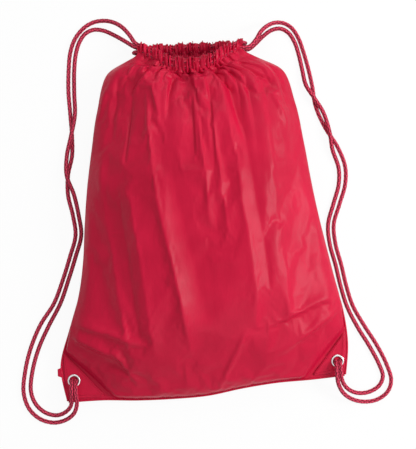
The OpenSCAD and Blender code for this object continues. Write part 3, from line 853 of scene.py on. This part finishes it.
def seam_ridge(name, line, out):
    steps = 300
    share = np.linspace(0, 1, steps + 1)
    middle = line(share)
    run = np.concatenate([[0], np.cumsum(np.linalg.norm(np.diff(middle, axis=0), axis=1))])
    angle = np.arange(10) * 2 * math.pi / 10
    pucker = 1 + 0.10 * np.sin(run * 2 * math.pi / 0.0065) \
        + 0.05 * np.sin(run * 2 * math.pi / 0.017)
    points = np.empty((steps + 1, 10, 3))
    for k, a in enumerate(angle):
        points[:, k, :2] = middle + np.array(out) * (0.0008 + seam_radius * math.cos(a))
        points[:, k, 2] = seam_height + seam_radius * 0.95 * math.sin(a) * pucker
    faces = grid_faces(10, steps, wrap=True).tolist()
    faces.append(list(range(9, -1, -1)))
    faces.append([steps * 10 + k for k in range(10)])
    uv = np.stack([np.tile(angle * seam_radius, steps + 1), np.repeat(run, 10)], axis=-1)
    seam = mesh_piece(name + "_cloth", points.reshape(-1, 3), faces, uv)
    turn_outwards(seam)
    seam.data.materials.append(nylon)
    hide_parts(name)
    return seam


for name, edge, out in (("side_seam_left", left_edge, (-1, 0)),
                        ("side_seam_right", right_edge, (1, 0))):
    side = seam_ridge(name, lambda share: along(edge, share * slit_from), out)
    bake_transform(side)
base_ridge = seam_ridge("base_seam", lambda share: along(base_edge, share), (0, -1))
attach(base_ridge, "bag")

# ---- Corner patches ----
# A second piece of the same cloth is sewn over each bottom corner, front and back, where the
# eyelet goes through and the cord pulls.
eyelets = {}
for side_name in ("left", "right"):
    low, high = (Vector(p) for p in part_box(f"eyelet_{side_name}"))
    eyelets[side_name] = (low + high) / 2
patch_outlines = {
    "left": [(-0.170, -0.152), (-0.169, -0.186), (-0.163, -0.210), (-0.120, -0.209)],
    "right": [(0.131, -0.195), (0.167, -0.191), (0.172, -0.176), (0.173, -0.143)],
}
patch_hole = 0.0054
patch_thickness = 0.0003
hem_from_edge, hem_half_width = 0.0035, 0.0012


def patch_cloth(name, side_name, bottom, top):
    centre = np.array(eyelets[side_name][:2])
    outline = np.array(patch_outlines[side_name])
    outline = outline[np.argsort(np.arctan2(*(outline - centre).T[::-1]))]
    spokes, rings = 96, 22
    angle = np.arange(spokes) * 2 * math.pi / spokes - math.pi
    ways = np.stack([np.cos(angle), np.sin(angle)], axis=1)
    reach = np.full(spokes, 1.0)
    for a, b in zip(outline, np.roll(outline, -1, axis=0)):
        edge, (east, north) = b - a, a - centre
        for k, way in enumerate(ways):
            across = way[0] * edge[1] - way[1] * edge[0]
            if abs(across) < 1e-12:
                continue
            gone = (east * edge[1] - north * edge[0]) / across
            place = (east * way[1] - north * way[0]) / across
            if gone > 0 and -1e-6 <= place <= 1 + 1e-6:
                reach[k] = min(reach[k], gone)
    share = np.linspace(0, 1, rings + 1)
    plan = centre + ways[None] * mix(patch_hole, reach[None, :, None], share[:, None, None])
    margin = (1 - share)[:, None] * (reach - patch_hole)[None]
    hem = np.exp(-((margin - hem_from_edge) / hem_half_width) ** 2)
    rumple = small_creases(plan[..., 0] * 1.7, plan[..., 1] * 1.7)
    z = mix(bottom, top, 0.45 + 0.25 * hem + 0.10 * rumple)
    z = mix(bottom + 0.0001, z, ease(margin / 0.0012))
    points = np.concatenate([plan, z[..., None]], axis=-1)
    patch = mesh_piece(name + "_cloth", points.reshape(-1, 3),
                       grid_faces(spokes, rings, wrap=True)[:, ::-1], plan.reshape(-1, 2))
    give_wall(patch, patch_thickness)
    patch.data.materials.append(nylon)
    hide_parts(name)
    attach(patch, "bag")


for side_name in ("left", "right"):
    for face in ("front", "back"):
        name = f"corner_patch_{face}_{side_name}"
        low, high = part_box(name)
        patch_cloth(name, side_name, low[2], high[2])

# ---- Seam tab ----
# A short folded end of the same cloth, caught in the left side seam beside the eyelet. It is
# sewn into the seam with the panels and stands out of it by a few millimetres.
tab_low, tab_high = (Vector(p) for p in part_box("seam_tab_left"))
tab_size = (0.0048, 0.0120, 0.0026)
tab = bmesh.new()
bmesh.ops.create_cube(tab, size=1.0)
bmesh.ops.scale(tab, vec=tab_size, verts=tab.verts)
for vertex in tab.verts:
    if vertex.co.x < 0:
        vertex.co.y *= 0.72
        vertex.co.z *= 0.8
bmesh.ops.bevel(tab, geom=tab.edges[:], offset=0.0008, segments=3, profile=0.6, affect="EDGES")
bmesh.ops.translate(tab, vec=(tab_low + tab_high) / 2 + Vector((0.0006, 0, 0)), verts=tab.verts)
tab_mesh = bpy.data.meshes.new("seam_tab_cloth")
tab.to_mesh(tab_mesh)
tab.free()
tab_layer = tab_mesh.uv_layers.new(name="cloth")
for loop in tab_mesh.loops:
    tab_layer.data[loop.index].uv = tab_mesh.vertices[loop.vertex_index].co.xy
tab_mesh.polygons.foreach_set("use_smooth", [True] * len(tab_mesh.polygons))
tab_piece = bpy.data.objects.new("seam_tab_cloth", tab_mesh)
bpy.context.collection.objects.link(tab_piece)
tab_mesh.materials.append(nylon)
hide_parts("seam_tab_left")
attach(tab_piece, "bag")

# ---- Eyelets ----
# Pressed from thin metal: the barrel goes through both corners, its rolled flange shows on
# the front, and the washer behind holds it.
polished = Finish("eyelet_metal", Metallic=1.0)
place = polished.node("TexCoord", None, None, 3)
scuff = polished.noise(place, 1400.0, 4.0, 0.6)
metal_tones = [(0.2, (0.46, 0.43, 0.44)), (0.8, (0.74, 0.71, 0.72))]
polished.feed(polished.surface.inputs["Base Color"],
              polished.node("ValToRGB", {"stops": metal_tones}, {"Fac": scuff}))
polished.feed(polished.surface.inputs["Roughness"], scuff * 0.25 + 0.14)
polished.bump(scuff, 0.15, 0.0001)


def turned_ring(name, node, profile, centre):
    """Turns a closed outline of (radius, height) points about the eyelet's axis."""
    steps = 72
    angle = np.arange(steps) * 2 * math.pi / steps
    profile = np.array(profile)
    n = len(profile)
    points = np.empty((steps, n, 3))
    points[..., 0] = centre[0] + np.cos(angle)[:, None] * profile[None, :, 0]
    points[..., 1] = centre[1] + np.sin(angle)[:, None] * profile[None, :, 0]
    points[..., 2] = profile[None, :, 1]
    faces = [[k * n + i, (k + 1) % steps * n + i, (k + 1) % steps * n + (i + 1) % n,
              k * n + (i + 1) % n] for k in range(steps) for i in range(n)]
    ring = mesh_piece(name, points.reshape(-1, 3), faces)
    turn_outwards(ring)
    ring.data.materials.append(polished.material)
    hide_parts(node)
    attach(ring, "bag")


bore, barrel, flange = 0.00485, 0.00535, 0.0075
for side_name in ("left", "right"):
    centre = eyelets[side_name]
    crown_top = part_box(f"eyelet_{side_name}")[1][2]
    rolled = [(mix(bore + 0.0006, flange, 0.5)
               + (flange - bore) / 2 * math.cos(a) * (1.0 if math.cos(a) > 0 else 0.9),
               lip + 0.00005 + (crown_top - lip) * max(0.0, math.sin(a)) ** 0.8)
              for a in np.linspace(0, math.pi, 15)]
    outline = rolled + [(bore, lip - 0.0002), (bore, knot_top + 0.0001),
                        (barrel, knot_top + 0.0001), (barrel, lip)]
    turned_ring(f"eyelet_{side_name}_metal", f"eyelet_{side_name}", outline, centre)
    low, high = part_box(f"eyelet_washer_{side_name}")
    washer = [(barrel + 0.0001, low[2] + 0.0001), (flange - 0.0004, low[2]),
              (flange, low[2] + 0.0003), (flange - 0.0003, high[2]), (barrel + 0.0001, high[2])]
    name = f"eyelet_washer_{side_name}"
    turned_ring(name + "_metal", name, washer, centre)

# ---- Stitches ----
# Crimson polyester sewing thread in single rows of lockstitch: along the foot of the front
# casing, along the base and round the front corner patches.
thread = Finish("sewing_thread", Roughness=0.55, Specular_IOR_Level=0.2)
twist = (thread.split(thread.node("TexCoord", None, None, 3))[1] * 9000.0).sine()
thread_tones = [(0.1, (0.30, 0.003, 0.020)), (0.9, (0.46, 0.008, 0.040))]
thread.feed(thread.surface.inputs["Base Color"],
            thread.node("ValToRGB", {"stops": thread_tones}, {"Fac": twist * 0.5 + 0.5}))
thread.bump(twist, 0.3, 0.0001)


def stitch_tree():
    """Stitches laid along a curve: one small rounded bar at each step, turned along the row."""
    tree = bpy.data.node_groups.new("stitches", "GeometryNodeTree")
    for name, kind in (("Row", "NodeSocketGeometry"), ("Step", "NodeSocketFloat"),
                       ("Stitch length", "NodeSocketFloat"), ("Thread", "NodeSocketFloat"),
                       ("Material", "NodeSocketMaterial")):
        tree.interface.new_socket(name, in_out="INPUT", socket_type=kind)
    tree.interface.new_socket("Stitches", in_out="OUTPUT", socket_type="NodeSocketGeometry")

    def add(kind, **settings):
        made = tree.nodes.new(kind)
        for name, value in settings.items():
            setattr(made, name, value)
        return made

    source, sink = add("NodeGroupInput"), add("NodeGroupOutput")
    even = add("GeometryNodeResampleCurve", mode="LENGTH")
    heading = add("GeometryNodeInputTangent")
    turn = add("FunctionNodeAlignRotationToVector", axis="X")
    bead = add("GeometryNodeMeshUVSphere")
    bead.inputs["Segments"].default_value = 8
    bead.inputs["Rings"].default_value = 5
    bead.inputs["Radius"].default_value = 0.5
    size = add("ShaderNodeCombineXYZ")
    lay = add("GeometryNodeInstanceOnPoints")
    real = add("GeometryNodeRealizeInstances")
    paint = add("GeometryNodeSetMaterial")
    for out, into in ((source.outputs["Row"], even.inputs["Curve"]),
                      (source.outputs["Step"], even.inputs["Length"]),
                      (heading.outputs[0], turn.inputs["Vector"]),
                      (source.outputs["Stitch length"], size.inputs[0]),
                      (source.outputs["Thread"], size.inputs[1]),
                      (source.outputs["Thread"], size.inputs[2]),
                      (even.outputs[0], lay.inputs["Points"]),
                      (bead.outputs["Mesh"], lay.inputs["Instance"]),
                      (turn.outputs[0], lay.inputs["Rotation"]),
                      (size.outputs[0], lay.inputs["Scale"]),
                      (lay.outputs[0], real.inputs[0]),
                      (real.outputs[0], paint.inputs["Geometry"]),
                      (source.outputs["Material"], paint.inputs["Material"]),
                      (paint.outputs[0], sink.inputs[0])):
        tree.links.new(out, into)
    return tree


stitches = stitch_tree()
stitch_sizes = {"Step": 0.0026, "Stitch length": 0.0020, "Thread": 0.00042}


def stitch_rows(name, rows):
    """One mesh with the stitches of several rows of points."""
    curve = bpy.data.curves.new(name + "_rows", "CURVE")
    curve.dimensions = "3D"
    for row in rows:
        spline = curve.splines.new("POLY")
        spline.points.add(len(row) - 1)
        spline.points.foreach_set("co", np.column_stack([row, np.ones(len(row))]).ravel())
    source = bpy.data.objects.new(name + "_rows", curve)
    bpy.context.collection.objects.link(source)
    sewing = source.modifiers.new("stitches", "NODES")
    sewing.node_group = stitches
    inputs = {**stitch_sizes, "Material": thread.material}
    for item in stitches.interface.items_tree:
        if item.in_out == "INPUT" and item.name in inputs:
            sewing[item.identifier] = inputs[item.name]
    seen = source.evaluated_get(bpy.context.evaluated_depsgraph_get())
    mesh = bpy.data.meshes.new_from_object(seen)
    mesh.name = name
    piece = bpy.data.objects.new(name, mesh)
    bpy.context.collection.objects.link(piece)
    bpy.data.objects.remove(source)
    mesh.polygons.foreach_set("use_smooth", [True] * len(mesh.polygons))
    return piece


front = panels["front_panel"]
on_cloth = front + panel_normals(front) * 0.0002
sewn = stitch_rows("front_stitches", [on_cloth[-3], on_cloth[1, 6:-6]])
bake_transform(sewn)

patch_rows = []
from_edge = 0.0045
for side_name in ("left", "right"):
    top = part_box(f"corner_patch_front_{side_name}")[1][2]
    outline = np.array(patch_outlines[side_name])
    inwards = outline.mean(axis=0) - outline
    inner = outline + inwards / np.linalg.norm(inwards, axis=1)[:, None] * from_edge
    loop = np.vstack([inner, inner[:1]])
    patch_rows.append(np.column_stack([loop, np.full(len(loop), top)]))
corner_stitches = stitch_rows("corner_stitches", patch_rows)
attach(corner_stitches, "bag")

# ---- Studio ----
# A plain white floor under soft daylight, with the main light from the upper right.
scene = bpy.context.scene
scene.view_settings.view_transform = "Standard"
world = bpy.data.worlds.new("daylight")
world.use_nodes = True
scene.world = world
nodes, link = world.node_tree.nodes, world.node_tree.links.new
white = (1.0, 1.0, 1.0, 1.0)
sky, backdrop = nodes["Background"], nodes.new("ShaderNodeBackground")
sky.inputs["Color"].default_value = backdrop.inputs["Color"].default_value = white
sky.inputs["Strength"].default_value = 0.42
ray = nodes.new("ShaderNodeLightPath")
shown = nodes.new("ShaderNodeMath")
shown.operation = "MAXIMUM"
choice = nodes.new("ShaderNodeMixShader")
link(ray.outputs["Is Camera Ray"], shown.inputs[0])
link(ray.outputs["Is Glossy Ray"], shown.inputs[1])
link(shown.outputs[0], choice.inputs[0])
link(sky.outputs[0], choice.inputs[1])
link(backdrop.outputs[0], choice.inputs[2])
link(choice.outputs[0], nodes["World Output"].inputs[0])

floor_height = -0.0002
floor_mesh = bpy.data.meshes.new("floor")
floor_mesh.from_pydata([(x, y, floor_height) for x, y in ((-3, -3), (3, -3), (3, 3), (-3, 3))],
                       [], [(0, 1, 2, 3)])
floor = bpy.data.objects.new("floor", floor_mesh)
bpy.context.collection.objects.link(floor)
paper = Finish("white_paper", Roughness=0.9, Base_Color=(0.85, 0.85, 0.85, 1.0))
glow = paper.node("Emission", None, {"Color": white, "Strength": 1.0})
seen = paper.node("LightPath")
mirrored = paper.node("LightPath", None, None, 3)
blend = paper.tree.nodes.new("ShaderNodeMixShader")
paper.feed(blend.inputs[0], seen.math("MAXIMUM", seen, mirrored) * 0.93)
link = paper.tree.links.new
link(paper.surface.outputs[0], blend.inputs[1])
link(glow.socket, blend.inputs[2])
link(blend.outputs[0], paper.tree.nodes["Material Output"].inputs["Surface"])
floor_mesh.materials.append(paper.material)

for name, spot, size, power in (("main_light", (1.15, 0.05, 0.90), 0.5, 13.4),
                                ("top_light", (0.25, 1.20, 1.00), 0.8, 7.0),
                                ("fill_light", (0.35, -1.0, 1.4), 1.2, 5.4)):
    lamp_data = bpy.data.lights.new(name, "AREA")
    lamp_data.size = size
    lamp_data.energy = power
    lamp = bpy.data.objects.new(name, lamp_data)
    lamp.location = spot
    lamp.rotation_euler = (-Vector(spot)).to_track_quat("-Z", "Y").to_euler()
    bpy.context.collection.objects.link(lamp)
